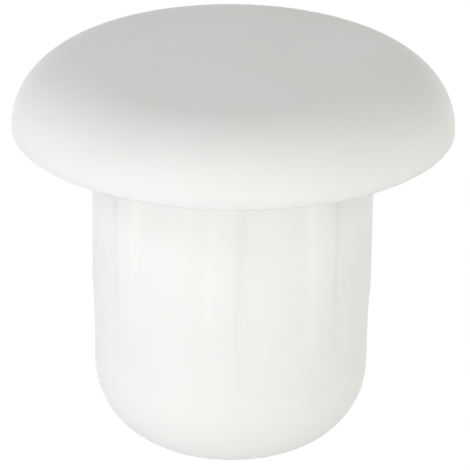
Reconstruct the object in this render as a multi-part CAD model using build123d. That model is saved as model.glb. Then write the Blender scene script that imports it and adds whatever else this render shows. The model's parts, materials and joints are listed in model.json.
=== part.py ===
from build123d import *
from math import radians, tan
import os

# Screw cover cap: a plug that closes the drilled hole above a sunk screw.
# It is moulded in one piece. The domed head hides the hole's mouth, and the shank grips the
# hole's wall with crush ribs and ends in a closed, rounded tip.
# Millimetres. +Z points out of the hole. The origin is the middle of the head's flat underside,
# the face that seats on the panel.

# The hole
hole_diameter = 5.0

# Head
head_diameter = 8.0
head_height = 1.4
crown_diameter = 5.2
crown_rise = 0.1
shoulder_fullness = 0.56
rim_radius = 0.04

# Shank
shank_clearance = 0.02
shank_length = 6.0
tip_radius = 1.5

# Crush ribs
rib_count = 8
rib_length = 3.3
rib_runout = 0.3
rib_bite_at_head = 0.05
rib_bite_at_foot = 0.02
rib_width = 0.56
rib_flank_angle = 45
rib_draft = 1.0
rib_root = 0.3

# Places that follow from the sizes
head_radius = head_diameter / 2
crown_radius = crown_diameter / 2
crown_edge_z = head_height - crown_rise
shank_radius = hole_diameter / 2 - shank_clearance
crest_radius_at_head = hole_diameter / 2 + rib_bite_at_head
crest_radius_at_foot = hole_diameter / 2 + rib_bite_at_foot


def body_section():
    """Half of the cap's section, from the middle of the crown round to the middle of the tip.

    The crown is one flat arc. The shoulder leaves it without a kink and comes down upright at the
    rim; shoulder_fullness is its handles' share of the way, and 0.55 would be a quarter ellipse.
    """
    crown = TangentArc((0, head_height), (crown_radius, crown_edge_z), tangent=(1, 0))
    shoulder_run = head_radius - crown_radius
    shoulder_drop = crown_edge_z - rim_radius
    shoulder = Bezier(
        crown @ 1,
        crown @ 1 + (crown % 1) * shoulder_fullness * shoulder_run,
        Vector(head_radius, rim_radius + shoulder_fullness * shoulder_drop),
        Vector(head_radius, rim_radius),
    )
    rim = TangentArc(shoulder @ 1, (head_radius - rim_radius, 0), tangent=(0, -1))
    underside = Line(rim @ 1, (shank_radius, 0))
    side = Line(underside @ 1, (shank_radius, tip_radius - shank_length))
    tip = TangentArc(side @ 1, (shank_radius - tip_radius, -shank_length), tangent=(0, -1))
    end = Line(tip @ 1, (0, -shank_length))
    axis = Line(end @ 1, crown @ 0)
    return make_face([crown, shoulder, rim, underside, side, tip, end, axis])


def crest_section():
    """Half section of the round form that the ribs' crests lie on.

    It narrows from the head to the foot, then runs out through the shank's surface at rib_length
    and goes on as far again beneath it, so that each rib fades away without a step.
    """
    runout_start = Vector(crest_radius_at_foot, rib_runout - rib_length)
    surface = Vector(shank_radius, -rib_length)
    buried_end = surface * 2 - runout_start
    outline = Polyline(
        (0, rib_root),
        (crest_radius_at_head, rib_root),
        (crest_radius_at_head, 0),
        runout_start,
        buried_end,
        (0, buried_end.Y),
        close=True,
    )
    return make_face(outline)


def rib_bar():
    """One rib along +X before its crest is cut: a three-cornered bar with its ridge outwards.

    The draft draws its sides in towards the foot, as a moulded rib narrows.
    """
    flank = tan(radians(rib_flank_angle))
    root_radius = shank_radius - rib_root
    ridge_radius = crest_radius_at_head + flank * rib_width / 2
    root_half_width = (ridge_radius - root_radius) / flank
    section = make_face(
        Polyline(
            (root_radius, root_half_width),
            (root_radius, -root_half_width),
            (ridge_radius, 0),
            close=True,
        )
    )
    length = rib_root + rib_length + rib_runout
    return extrude(Pos(0, 0, rib_root) * section, amount=length, dir=(0, 0, -1), taper=rib_draft)


def ribs():
    """The ring of ribs: equal bars, each trimmed by the form that the crests lie on."""
    crests = revolve(Plane.XZ * crest_section(), Axis.Z)
    return [crests & bar for bar in PolarLocations(0, rib_count) * rib_bar()]


def cover_cap():
    """The whole cap, as one solid."""
    body = revolve(Plane.XZ * body_section(), Axis.Z)
    return body + ribs()


os.makedirs("parts", exist_ok=True)
export_step(cover_cap(), "parts/cover_cap.step")
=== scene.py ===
"""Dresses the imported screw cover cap: its moulded skin, a plain floor, soft light and a camera."""

import json
import math

import bpy
import numpy as np
from bpy.props import FloatProperty, FloatVectorProperty, IntProperty, PointerProperty
from bpy.types import Operator, Panel, PropertyGroup
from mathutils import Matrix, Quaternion, Vector


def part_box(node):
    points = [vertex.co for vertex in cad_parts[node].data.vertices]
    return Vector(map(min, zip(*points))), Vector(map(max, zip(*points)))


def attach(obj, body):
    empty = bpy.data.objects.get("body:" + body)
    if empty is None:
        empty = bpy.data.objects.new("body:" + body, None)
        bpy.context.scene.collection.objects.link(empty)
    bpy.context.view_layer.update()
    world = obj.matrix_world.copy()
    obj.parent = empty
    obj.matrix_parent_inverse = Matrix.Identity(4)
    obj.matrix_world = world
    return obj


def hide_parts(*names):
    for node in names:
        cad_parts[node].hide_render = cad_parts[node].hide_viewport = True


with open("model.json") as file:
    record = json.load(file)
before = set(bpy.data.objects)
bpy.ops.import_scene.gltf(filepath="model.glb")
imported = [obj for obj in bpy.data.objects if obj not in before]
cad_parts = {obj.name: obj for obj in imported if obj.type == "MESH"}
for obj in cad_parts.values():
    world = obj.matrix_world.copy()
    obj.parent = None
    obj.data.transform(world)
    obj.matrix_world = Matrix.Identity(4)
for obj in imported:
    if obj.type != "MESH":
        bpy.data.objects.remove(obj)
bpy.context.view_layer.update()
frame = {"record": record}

bl_info = {
    "name": "Screw Cover Cap",
    "version": (1, 0, 0),
    "blender": (4, 5, 0),
    "location": "3D View > Sidebar > Cover Cap",
    "description": "Builds a moulded screw cover cap with crush ribs, and a stage to show it on",
    "category": "Object",
}

CAP_NODE = "cover_cap"
CAP_SLOT = "cap_plastic"
CAP_LOW, CAP_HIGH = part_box(CAP_NODE)
RECORD = frame["record"]
SHANK_MOUNT = next(m for m in RECORD["mounts"] if m["name"] == "shank")
PLASTIC = next(m for m in RECORD["materials"] if m["slot"] == CAP_SLOT)
# One millimetre, in Blender's metres
MM = 0.001
# Rows of the skin down each stretch of the cap's section
CROWN_ROWS = 21
SHOULDER_ROWS = 45
RIM_ROWS = 8
UNDERSIDE_ROWS = 8
ROOT_ROWS = 7
WALL_ROWS = 57
TIP_ROWS = 37
END_ROWS = 6
# Columns of the skin over half a rib's pitch, and what a rib's side adds to their density of 1
HALF_PITCH_COLUMNS = 20
CROWDING = 4
# Width of the crowded part: this share of the way to the rib's side, and this angle more
CROWD_SHARE = 0.25
CROWD_ANGLE = 0.01
# How many angles the columns' density is added up at
DENSITY_SAMPLES = 400
# Each lamp's name, the names of its strength, size and colour in the stage settings, and its azimuth
# and elevation in degrees
LAMPS = (
    ("low_left_lamp", "low_left_light", "low_lamp_size", "cool_colour", -20, 8),
    ("low_right_lamp", "low_right_light", "low_lamp_size", "warm_colour", 20, 8),
    ("high_left_lamp", "high_left_light", "high_lamp_size", "cool_colour", -60, 30),
    ("high_right_lamp", "high_right_light", "high_lamp_size", "warm_colour", 60, 30),
    ("far_left_lamp", "far_left_light", "high_lamp_size", "cool_colour", -90, 30),
    ("far_right_lamp", "far_right_light", "high_lamp_size", "warm_colour", 90, 30),
    ("back_left_lamp", "side_back_light", "high_lamp_size", "cool_colour", -130, 14),
    ("back_right_lamp", "side_back_light", "high_lamp_size", "warm_colour", 130, 14),
    ("high_back_lamp", "high_back_light", "high_lamp_size", "warm_colour", 180, 35),
)


class CapShape(PropertyGroup):
    """The cap's sizes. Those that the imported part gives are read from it."""

    head_diameter: FloatProperty(
        name="Head Diameter", description="Width of the head over its rim",
        default=CAP_HIGH.x - CAP_LOW.x, unit="LENGTH")
    head_height: FloatProperty(
        name="Head Height", description="From the seating face to the middle of the crown",
        default=CAP_HIGH.z, unit="LENGTH")
    crown_diameter: FloatProperty(
        name="Crown Diameter", description="Width of the nearly flat part of the dome",
        default=5.2 * MM, unit="LENGTH")
    crown_rise: FloatProperty(
        name="Crown Rise", description="How far the crown's middle stands over its edge",
        default=0.1 * MM, unit="LENGTH")
    shoulder_fullness: FloatProperty(
        name="Shoulder Fullness", description="Handle share of the shoulder; 0.55 is a quarter ellipse",
        default=0.56, min=0.2, max=0.9, subtype="FACTOR")
    rim_radius: FloatProperty(
        name="Rim Radius", description="Rounding of the head's lower edge",
        default=0.025 * MM, unit="LENGTH")
    shank_diameter: FloatProperty(
        name="Shank Diameter", description="Width of the plain wall between the ribs",
        default=4.96 * MM, unit="LENGTH")
    shank_length: FloatProperty(
        name="Shank Length", description="From the seating face to the end of the tip",
        default=-CAP_LOW.z, unit="LENGTH")
    root_radius: FloatProperty(
        name="Root Radius", description="Rounding between the wall and the seating face",
        default=0.05 * MM, unit="LENGTH")
    tip_radius: FloatProperty(
        name="Tip Radius", description="Rounding of the shank's end",
        default=1.5 * MM, unit="LENGTH")
    rib_count: IntProperty(
        name="Ribs", description="Number of crush ribs round the shank",
        default=8, min=2)
    rib_length: FloatProperty(
        name="Rib Length", description="From the seating face to where a rib has run out",
        default=3.3 * MM, unit="LENGTH")
    rib_runout: FloatProperty(
        name="Rib Run-out", description="Length over which a rib's foot fades into the wall",
        default=0.3 * MM, unit="LENGTH")
    rib_width: FloatProperty(
        name="Rib Width", description="Width of a rib's crest at the head",
        default=0.56 * MM, unit="LENGTH")
    crest_diameter: FloatProperty(
        name="Crest Diameter", description="Width of the shank over its ribs at the head",
        default=2 * SHANK_MOUNT["dims"]["r_mm"] * MM, unit="LENGTH")
    crest_loss: FloatProperty(
        name="Crest Loss", description="How much lower a crest is at its foot than at the head",
        default=0.03 * MM, unit="LENGTH")
    rib_draft: FloatProperty(
        name="Rib Draft", description="Lean of each rib side, drawing the rib in towards its foot",
        default=math.radians(1.4), subtype="ANGLE")
    rib_softness: FloatProperty(
        name="Rib Softness", description="Rounding of the ribs' edges and roots",
        default=0.042 * MM, unit="LENGTH")


class CapFinish(PropertyGroup):
    """The look of the moulded plastic."""

    colour: FloatVectorProperty(
        name="Colour", description="Colour of the plastic",
        default=PLASTIC["base_color"], size=3, subtype="COLOR", min=0, max=1)
    flow_colour: FloatVectorProperty(
        name="Flow Colour", description="Slightly warmer colour in the broad flow marks",
        default=(0.865, 0.872, 0.833), size=3, subtype="COLOR", min=0, max=1)
    flow_size: FloatProperty(
        name="Flow Mark Size", description="Width of the broad, faint flow marks",
        default=3.0 * MM, unit="LENGTH")
    gloss_low: FloatProperty(
        name="Smoothest Roughness", description="Roughness where the mould was most polished",
        default=0.42, min=0, max=1, subtype="FACTOR")
    gloss_high: FloatProperty(
        name="Dullest Roughness", description="Roughness where the surface is dullest",
        default=0.54, min=0, max=1, subtype="FACTOR")
    grain_size: FloatProperty(
        name="Grain Size", description="Size of the mould's fine satin grain",
        default=0.09 * MM, unit="LENGTH")
    grain_depth: FloatProperty(
        name="Grain Depth", description="Depth of the fine satin grain",
        default=0.0012 * MM, unit="LENGTH", precision=6)
    translucency: FloatProperty(
        name="Translucency", description="Share of the light that passes through the skin",
        default=0.7, min=0, max=1, subtype="FACTOR")
    light_depth: FloatProperty(
        name="Light Depth", description="How far light travels under the skin",
        default=0.35 * MM, unit="LENGTH")


class CapStage(PropertyGroup):
    """Floor, light and camera."""

    floor_size: FloatProperty(
        name="Floor Size", description="Side of the square floor",
        default=4.0, unit="LENGTH")
    floor_shade: FloatProperty(
        name="Floor Shade", description="How much of the floor's seen white takes the shadow",
        default=0.25, min=0, max=1, subtype="FACTOR")
    floor_light: FloatProperty(
        name="Floor Light", description="Light that the floor gets at least where no shadow falls",
        default=0.52, min=0)
    floor_paleness: FloatProperty(
        name="Floor Paleness", description="Share of the light that the floor throws back at the cap",
        default=0.45, min=0, max=1, subtype="FACTOR")
    floor_glow: FloatProperty(
        name="Floor Glow", description="Even light that the floor adds to what it throws back",
        default=0.26, min=0)
    floor_gap: FloatProperty(
        name="Floor Gap", description="Hair's breadth between the tip and the floor",
        default=0.02 * MM, unit="LENGTH")
    surround: FloatProperty(
        name="Surround", description="Strength of the even light from all sides",
        default=0.05, min=0)
    low_left_light: FloatProperty(
        name="Low Left Light", description="Light from the low left lamp on a surface that faces it",
        default=0.34, min=0)
    low_right_light: FloatProperty(
        name="Low Right Light", description="Light from the low right lamp on a surface that faces it",
        default=0.275, min=0)
    high_left_light: FloatProperty(
        name="High Left Light", description="Light from the high left lamp on a surface that faces it",
        default=0.285, min=0)
    high_right_light: FloatProperty(
        name="High Right Light",
        description="Light from the high right lamp on a surface that faces it",
        default=0.102, min=0)
    far_left_light: FloatProperty(
        name="Far Left Light", description="Light from the far left lamp on a surface that faces it",
        default=0.149, min=0)
    far_right_light: FloatProperty(
        name="Far Right Light", description="Light from the far right lamp on a surface that faces it",
        default=0.224, min=0)
    side_back_light: FloatProperty(
        name="Side Back Light", description="Light from each of the two lamps behind, to the sides",
        default=0.174, min=0)
    high_back_light: FloatProperty(
        name="High Back Light", description="Light from the high lamp straight behind",
        default=0.082, min=0)
    cool_colour: FloatVectorProperty(
        name="Cool Colour", description="Colour of the lamps on the left",
        default=(0.95, 0.96, 1.0), size=3, subtype="COLOR", min=0, max=1)
    warm_colour: FloatVectorProperty(
        name="Warm Colour", description="Colour of the lamps on the right and straight behind",
        default=(1.0, 0.98, 0.95), size=3, subtype="COLOR", min=0, max=1)
    lamp_distance: FloatProperty(
        name="Lamp Distance", description="From the cap to each lamp",
        default=0.6, unit="LENGTH")
    low_lamp_size: FloatProperty(
        name="Low Lamp Size", description="Side of each low square lamp",
        default=0.16, unit="LENGTH")
    high_lamp_size: FloatProperty(
        name="High Lamp Size", description="Side of each of the other square lamps",
        default=0.3, unit="LENGTH")
    camera_azimuth: FloatProperty(
        name="Camera Azimuth", description="Turn of the camera round the cap",
        default=math.radians(4), subtype="ANGLE")
    camera_elevation: FloatProperty(
        name="Camera Elevation", description="Height of the camera over the horizon",
        default=math.radians(22.61), subtype="ANGLE")
    camera_distance: FloatProperty(
        name="Camera Distance", description="From the camera to the point it looks at",
        default=120 * MM, unit="LENGTH")
    camera_aim: FloatVectorProperty(
        name="Camera Aim", description="The point it looks at: sideways in the view, and height",
        default=(0.0522 * MM, -2.112 * MM), size=2, unit="LENGTH")
    camera_roll: FloatProperty(
        name="Camera Roll", description="Turn of the camera about its own line of sight",
        default=math.radians(0.65), subtype="ANGLE")
    lens: FloatProperty(
        name="Lens", description="Focal length in millimetres, on a 36 mm wide sensor",
        default=506.8, unit="CAMERA")


def steps(count):
    """Even steps from 0 to 1, without the 0."""
    return np.linspace(0, 1, count + 1)[1:]


def fixed_rows(radius, height):
    """Rows of the section whose radius doesn't follow the wall."""
    return np.column_stack([radius, np.zeros_like(radius), height])


def section_rows(shape):
    """Rows of the cap's half section, from the crown's middle round to the tip's middle.

    The crown is an arc, radius = (half width squared + rise squared) / (2 x rise). The shoulder is
    a cubic Bezier curve that leaves it along its tangent and comes down upright at the rim. The
    rim, the root and the tip are quarter circles, and the rest is straight.
    Each row has three numbers: a fixed radius, the share of the wall's own radius that is added to
    it, and a height.
    """
    head_r = shape.head_diameter / 2
    crown_r = shape.crown_diameter / 2
    rise = shape.crown_rise
    rim = shape.rim_radius
    shank_r = shape.shank_diameter / 2
    root = shape.root_radius
    tip = shape.tip_radius
    tip_z = tip - shape.shank_length

    ball = (crown_r**2 + rise**2) / (2 * rise)
    r = crown_r * steps(CROWN_ROWS)
    crown = fixed_rows(r, shape.head_height - ball + np.sqrt(ball**2 - r**2))

    slope = math.asin(crown_r / ball)
    start = np.array([crown_r, shape.head_height - rise])
    end = np.array([head_r, rim])
    handle = shape.shoulder_fullness
    first = start + handle * (head_r - crown_r) * np.array([math.cos(slope), -math.sin(slope)])
    second = end + handle * np.array([0, start[1] - rim])
    t = steps(SHOULDER_ROWS)[:, None]
    curve = ((1 - t)**3 * start + 3 * (1 - t)**2 * t * first
             + 3 * (1 - t) * t**2 * second + t**3 * end)
    shoulder = fixed_rows(curve[:, 0], curve[:, 1])

    turn = math.pi / 2 * steps(RIM_ROWS)
    rim_arc = fixed_rows(head_r - rim + rim * np.cos(turn), rim - rim * np.sin(turn))

    t = steps(UNDERSIDE_ROWS)
    underside = np.column_stack([(1 - t) * (head_r - rim) + t * root, t, np.zeros_like(t)])

    turn = math.pi / 2 * steps(ROOT_ROWS)
    on_wall = np.ones_like(turn)
    root_arc = np.column_stack([root - root * np.sin(turn), on_wall, root * np.cos(turn) - root])

    height = -root + (tip_z + root) * steps(WALL_ROWS)
    wall = np.column_stack([np.zeros_like(height), np.ones_like(height), height])

    turn = math.pi / 2 * steps(TIP_ROWS)
    tip_arc = fixed_rows(shank_r - tip + tip * np.cos(turn), tip_z - tip * np.sin(turn))

    r = (shank_r - tip) * np.linspace(1, 0, END_ROWS + 2)[1:-1]
    end_face = fixed_rows(r, np.full_like(r, -shape.shank_length))
    return np.vstack([crown, shoulder, rim_arc, underside, root_arc, wall, tip_arc, end_face])


def soft_lower(a, b, softness):
    """The lower of a and b, with the corner between them rounded: -s log(exp(-a/s) + exp(-b/s))."""
    return -softness * np.logaddexp(-a / softness, -b / softness)


def rib_height(shape, angle, height):
    """How far the ribs stand over the plain wall at an angle round the cap and a height.

    Along a rib the crest falls evenly from the head to the foot, and then runs out. Across it the
    height is the lower of that crest and a side that slopes at 45 degrees, drawn in by the draft
    on the way down. Where both are below the wall there is no rib. All three meet softly.
    """
    soft = shape.rib_softness
    wall = shape.shank_diameter / 2
    proud = shape.crest_diameter / 2 - wall
    foot = shape.rib_runout - shape.rib_length
    pitch = math.tau / shape.rib_count
    beside = wall * np.abs((angle + pitch / 2) % pitch - pitch / 2)
    at_foot = proud - shape.crest_loss
    crest = np.where(height > foot, proud - shape.crest_loss * height / foot,
                     at_foot * (1 - (foot - height) / shape.rib_runout))
    side = shape.rib_width / 2 + proud + math.tan(shape.rib_draft) * height - beside
    return soft * np.logaddexp(0, soft_lower(crest, side, soft) / soft)


def column_angles(shape):
    """Angles of the skin's columns, crowded at the ribs' sides.

    Over half a rib's pitch the columns' density is 1 + crowding x exp(-((x - side) / width)^2), where
    side is the angle of the rib's side. The columns stand at even steps of that density's sum.
    """
    wall = shape.shank_diameter / 2
    half_pitch = math.pi / shape.rib_count
    side = (shape.rib_width / 2) / wall
    width = CROWD_SHARE * side + CROWD_ANGLE
    x = np.linspace(0, half_pitch, DENSITY_SAMPLES)
    amount = np.cumsum(1 + CROWDING * np.exp(-((x - side) / width)**2))
    amount = (amount - amount[0]) / (amount[-1] - amount[0])
    half = np.interp(np.linspace(0, 1, HALF_PITCH_COLUMNS + 1), amount, x)
    one = np.concatenate([-half[:0:-1], half[:-1]])
    middles = np.arange(shape.rib_count) * 2 * half_pitch
    return (middles[:, None] + one).ravel()


def cap_surface(shape):
    """The cap's skin as a grid of points, one row for each place down the section.

    radius(row, angle) = fixed radius + share x (wall radius + rib height at that angle and height)
    """
    rows = section_rows(shape)
    angle = column_angles(shape)
    height = np.broadcast_to(rows[:, 2:3], (len(rows), len(angle)))
    wall = shape.shank_diameter / 2 + rib_height(shape, angle, height)
    radius = rows[:, 0:1] + rows[:, 1:2] * wall
    return np.stack([radius * np.cos(angle), radius * np.sin(angle), height], axis=-1)


def closed_mesh(name, grid, top, bottom):
    """A mesh from a grid that closes round its columns and has a point at each end.

    Each four-sided face joins two neighbours in a row to the two below them, and a ring of triangles
    joins the first row to the top point and the last row to the bottom one.
    """
    rows, columns = grid.shape[:2]
    points = np.vstack([grid.reshape(-1, 3), [top, bottom]])
    index = np.arange(rows * columns).reshape(rows, columns)
    beside = np.roll(index, -1, axis=1)
    quads = np.stack([index[:-1], index[1:], beside[1:], beside[:-1]], axis=-1).reshape(-1, 4)
    first = np.column_stack([np.full(columns, rows * columns), index[0], beside[0]])
    last = np.column_stack([np.full(columns, rows * columns + 1), beside[-1], index[-1]])
    mesh = bpy.data.meshes.new(name)
    mesh.from_pydata(points.tolist(), [], quads.tolist() + first.tolist() + last.tolist())
    mesh.shade_smooth()
    return mesh


def add_node(tree, kind, place, inputs=(), **settings):
    """A shader node with its settings and socket values."""
    node = tree.nodes.new(kind)
    node.location = place
    for key, value in settings.items():
        setattr(node, key, value)
    for key, value in dict(inputs).items():
        node.inputs[key].default_value = value
    return node


def new_material(name):
    """An empty node material and its tree."""
    material = bpy.data.materials.new(name)
    material.use_nodes = True
    material.node_tree.nodes.clear()
    return material, material.node_tree


def moulded_plastic(finish):
    """Satin, faintly translucent moulded plastic with flow marks and a fine grain."""
    material, tree = new_material("cap plastic")
    link = tree.links.new
    place = add_node(tree, "ShaderNodeTexCoord", (-1200, 0)).outputs["Object"]

    flow = add_node(tree, "ShaderNodeTexNoise", (-900, 250), noise_dimensions="3D",
                    inputs={"Scale": 1 / finish.flow_size, "Detail": 3.0, "Roughness": 0.5,
                            "Distortion": 0.6})
    link(place, flow.inputs["Vector"])
    blend = add_node(tree, "ShaderNodeMix", (-400, 350), data_type="RGBA",
                     inputs={"A": (*finish.colour, 1), "B": (*finish.flow_colour, 1)})
    spread = add_node(tree, "ShaderNodeMapRange", (-650, 300),
                      inputs={"From Min": 0.35, "From Max": 0.7, "To Min": 0.0, "To Max": 1.0})
    link(flow.outputs["Fac"], spread.inputs["Value"])
    link(spread.outputs["Result"], blend.inputs["Factor"])

    dull = add_node(tree, "ShaderNodeMapRange", (-400, 50),
                    inputs={"From Min": 0.3, "From Max": 0.7, "To Min": finish.gloss_low,
                            "To Max": finish.gloss_high})
    link(flow.outputs["Fac"], dull.inputs["Value"])

    grain = add_node(tree, "ShaderNodeTexNoise", (-900, -250), noise_dimensions="3D",
                     inputs={"Scale": 1 / finish.grain_size, "Detail": 2.0, "Roughness": 0.6})
    link(place, grain.inputs["Vector"])
    bump = add_node(tree, "ShaderNodeBump", (-400, -250),
                    inputs={"Strength": 1.0, "Distance": finish.grain_depth})
    link(grain.outputs["Fac"], bump.inputs["Height"])

    skin = add_node(tree, "ShaderNodeBsdfPrincipled", (0, 0),
                    inputs={"IOR": 1.5, "Subsurface Weight": finish.translucency,
                            "Subsurface Radius": (1.0, 1.0, 0.9),
                            "Subsurface Scale": finish.light_depth})
    link(blend.outputs["Result"], skin.inputs["Base Color"])
    link(dull.outputs["Result"], skin.inputs["Roughness"])
    link(bump.outputs["Normal"], skin.inputs["Normal"])
    out = add_node(tree, "ShaderNodeOutputMaterial", (300, 0))
    link(skin.outputs["BSDF"], out.inputs["Surface"])
    return material


def seen_rays(tree):
    """1 for the rays that show the background: seen, mirrored or passed through; else 0."""
    rays = add_node(tree, "ShaderNodeLightPath", (-900, 300))
    either = add_node(tree, "ShaderNodeMath", (-650, 300), operation="MAXIMUM")
    tree.links.new(rays.outputs["Is Camera Ray"], either.inputs[0])
    tree.links.new(rays.outputs["Is Glossy Ray"], either.inputs[1])
    any_of = add_node(tree, "ShaderNodeMath", (-450, 300), operation="MAXIMUM")
    tree.links.new(either.outputs[0], any_of.inputs[0])
    tree.links.new(rays.outputs["Is Transmission Ray"], any_of.inputs[1])
    return any_of.outputs[0]


def floor_material(stage):
    """White to the eye, with the cap's shadow kept.

    What is seen is 1 + shade x (the light that the floor gets - the least where no shadow falls), so
    that it is white all round the shadow. To all other rays it is a pale floor that glows a little, so
    that the end of the tip isn't black where it stands on it. From below it isn't there, so that the
    cap's underside can be looked at.
    """
    material, tree = new_material("pale floor")
    # If the glow were sampled as a lamp, each half of the floor would light the tip's end differently
    material.cycles.emission_sampling = "NONE"
    link = tree.links.new
    seen = seen_rays(tree)
    pale = add_node(tree, "ShaderNodeBsdfDiffuse", (-450, 200),
                    inputs={"Color": (stage.floor_paleness,) * 3 + (1,)})
    glow = add_node(tree, "ShaderNodeEmission", (-450, 50),
                    inputs={"Color": (1, 1, 1, 1), "Strength": stage.floor_glow})
    lit = add_node(tree, "ShaderNodeAddShader", (-200, 100))
    link(pale.outputs[0], lit.inputs[0])
    link(glow.outputs[0], lit.inputs[1])
    in_shadow = 1 - stage.floor_light * stage.floor_shade
    white = add_node(tree, "ShaderNodeEmission", (-450, -100),
                     inputs={"Color": (1, 1, 1, 1), "Strength": in_shadow})
    shade = add_node(tree, "ShaderNodeBsdfDiffuse", (-450, -250),
                     inputs={"Color": (stage.floor_shade,) * 3 + (1,)})
    both = add_node(tree, "ShaderNodeAddShader", (-200, -150))
    link(white.outputs[0], both.inputs[0])
    link(shade.outputs[0], both.inputs[1])
    top = add_node(tree, "ShaderNodeMixShader", (0, 50))
    link(seen, top.inputs[0])
    link(lit.outputs[0], top.inputs[1])
    link(both.outputs[0], top.inputs[2])
    side = add_node(tree, "ShaderNodeNewGeometry", (0, 300))
    clear = add_node(tree, "ShaderNodeBsdfTransparent", (0, -150))
    either = add_node(tree, "ShaderNodeMixShader", (250, 50))
    link(side.outputs["Backfacing"], either.inputs[0])
    link(top.outputs[0], either.inputs[1])
    link(clear.outputs[0], either.inputs[2])
    out = add_node(tree, "ShaderNodeOutputMaterial", (450, 50))
    link(either.outputs[0], out.inputs["Surface"])
    return material


def set_world(stage):
    """Even light from all sides, and white where it is seen."""
    world = bpy.data.worlds.new("studio")
    world.use_nodes = True
    tree = world.node_tree
    tree.nodes.clear()
    light = add_node(tree, "ShaderNodeBackground", (-200, 100),
                     inputs={"Color": (1, 1, 1, 1), "Strength": stage.surround})
    white = add_node(tree, "ShaderNodeBackground", (-200, -100),
                     inputs={"Color": (1, 1, 1, 1), "Strength": 1.0})
    mix = add_node(tree, "ShaderNodeMixShader", (50, 0))
    out = add_node(tree, "ShaderNodeOutputWorld", (250, 0))
    tree.links.new(seen_rays(tree), mix.inputs[0])
    tree.links.new(light.outputs[0], mix.inputs[1])
    tree.links.new(white.outputs[0], mix.inputs[2])
    tree.links.new(mix.outputs[0], out.inputs["Surface"])
    bpy.context.scene.world = world


def direction(azimuth, elevation):
    """Unit vector from the cap: azimuth 0 is towards -Y, the side that is photographed."""
    flat = math.cos(elevation)
    return Vector((math.sin(azimuth) * flat, -math.cos(azimuth) * flat, math.sin(elevation)))


def add_lamp(name, azimuth, elevation, strength, size, colour, distance):
    """A square soft lamp aimed at the cap. The satin skin mirrors the white surround, not the lamp.

    A lamp of power P and area A at distance d gives P / (pi d d) at its middle, so the power for a
    wanted strength is that times pi d d. Strength 1 shows a white surface as white, which takes pi.
    """
    data = bpy.data.lights.new(name, "AREA")
    data.shape = "SQUARE"
    data.size = size
    data.energy = strength * math.pi * math.pi * distance**2
    data.color = colour
    lamp = bpy.data.objects.new(name, data)
    towards = direction(azimuth, elevation)
    lamp.location = towards * distance
    lamp.rotation_mode = "QUATERNION"
    lamp.rotation_quaternion = towards.to_track_quat("Z", "Y")
    lamp.visible_camera = False
    lamp.visible_glossy = False
    bpy.context.scene.collection.objects.link(lamp)


def add_camera(stage):
    """The camera at the photographed angle, looking at a point near the cap's middle."""
    data = bpy.data.cameras.new("camera")
    data.lens = stage.lens
    data.clip_start = 1 * MM
    data.clip_end = 10.0
    camera = bpy.data.objects.new("camera", data)
    back = direction(stage.camera_azimuth, stage.camera_elevation)
    right = Vector((math.cos(stage.camera_azimuth), math.sin(stage.camera_azimuth), 0))
    aim = right * stage.camera_aim[0] + Vector((0, 0, stage.camera_aim[1]))
    camera.location = aim + back * stage.camera_distance
    camera.rotation_mode = "QUATERNION"
    camera.rotation_quaternion = Quaternion(back, stage.camera_roll) @ back.to_track_quat("Z", "Y")
    bpy.context.scene.collection.objects.link(camera)
    bpy.context.scene.camera = camera


class COVERCAP_OT_make_cap(Operator):
    """Builds the cap's skin and gives it its moulded plastic"""

    bl_idname = "cover_cap.make_cap"
    bl_label = "Make Cap"
    bl_options = {"REGISTER", "UNDO"}

    def execute(self, context):
        shape = context.scene.cover_cap_shape
        top = (0, 0, shape.head_height)
        bottom = (0, 0, -shape.shank_length)
        mesh = closed_mesh("cap_body", cap_surface(shape), top, bottom)
        mesh.materials.append(moulded_plastic(context.scene.cover_cap_finish))
        cap = bpy.data.objects.new("cap_body", mesh)
        context.scene.collection.objects.link(cap)
        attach(cap, "root")
        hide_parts(CAP_NODE)
        return {"FINISHED"}


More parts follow.
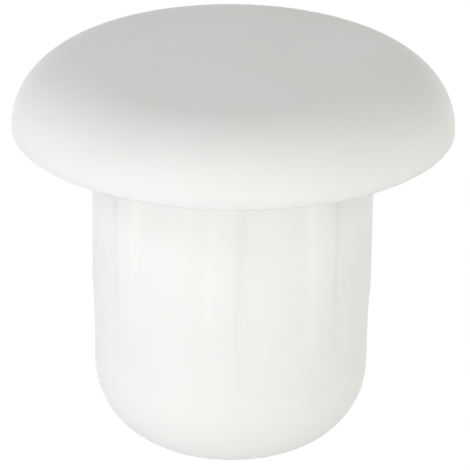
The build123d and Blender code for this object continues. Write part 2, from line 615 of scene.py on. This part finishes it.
class COVERCAP_OT_set_stage(Operator):
    """Lays the floor and sets the soft light and the camera"""

    bl_idname = "cover_cap.set_stage"
    bl_label = "Set Stage"
    bl_options = {"REGISTER", "UNDO"}

    def execute(self, context):
        stage = context.scene.cover_cap_stage
        half = stage.floor_size / 2
        level = CAP_LOW.z - stage.floor_gap
        sides = ((-1, -1), (1, -1), (1, 1), (-1, 1))
        corners = [(x * half, y * half, level) for x, y in sides]
        mesh = bpy.data.meshes.new("floor")
        mesh.from_pydata(corners, [], [(0, 1, 2, 3)])
        mesh.materials.append(floor_material(stage))
        floor = bpy.data.objects.new("floor", mesh)
        context.scene.collection.objects.link(floor)
        set_world(stage)
        for name, strength, size, colour, azimuth, elevation in LAMPS:
            add_lamp(name, math.radians(azimuth), math.radians(elevation), getattr(stage, strength),
                     getattr(stage, size), getattr(stage, colour), stage.lamp_distance)
        add_camera(stage)
        context.scene.view_settings.view_transform = "Standard"
        return {"FINISHED"}


class COVERCAP_PT_sidebar(Panel):
    """Lists the cap's sizes, finish and stage, with the buttons that build them"""

    bl_label = "Cover Cap"
    bl_idname = "COVERCAP_PT_sidebar"
    bl_space_type = "VIEW_3D"
    bl_region_type = "UI"
    bl_category = "Cover Cap"

    def draw(self, context):
        scene = context.scene
        for title, group, button in (
            ("Shape", scene.cover_cap_shape, None),
            ("Finish", scene.cover_cap_finish, COVERCAP_OT_make_cap.bl_idname),
            ("Stage", scene.cover_cap_stage, COVERCAP_OT_set_stage.bl_idname),
        ):
            box = self.layout.box()
            box.label(text=title)
            for name in group.__annotations__:
                box.prop(group, name)
            if button:
                box.operator(button)


CLASSES = (
    CapShape,
    CapFinish,
    CapStage,
    COVERCAP_OT_make_cap,
    COVERCAP_OT_set_stage,
    COVERCAP_PT_sidebar,
)


def register():
    """Adds the classes, and the settings to the scene."""
    for cls in CLASSES:
        bpy.utils.register_class(cls)
    bpy.types.Scene.cover_cap_shape = PointerProperty(type=CapShape)
    bpy.types.Scene.cover_cap_finish = PointerProperty(type=CapFinish)
    bpy.types.Scene.cover_cap_stage = PointerProperty(type=CapStage)


def unregister():
    """Takes the settings and the classes away again."""
    del bpy.types.Scene.cover_cap_stage
    del bpy.types.Scene.cover_cap_finish
    del bpy.types.Scene.cover_cap_shape
    for cls in reversed(CLASSES):
        bpy.utils.unregister_class(cls)


def main():
    """Builds everything."""
    register()
    bpy.ops.cover_cap.make_cap()
    bpy.ops.cover_cap.set_stage()


if __name__ == "__main__":
    main()
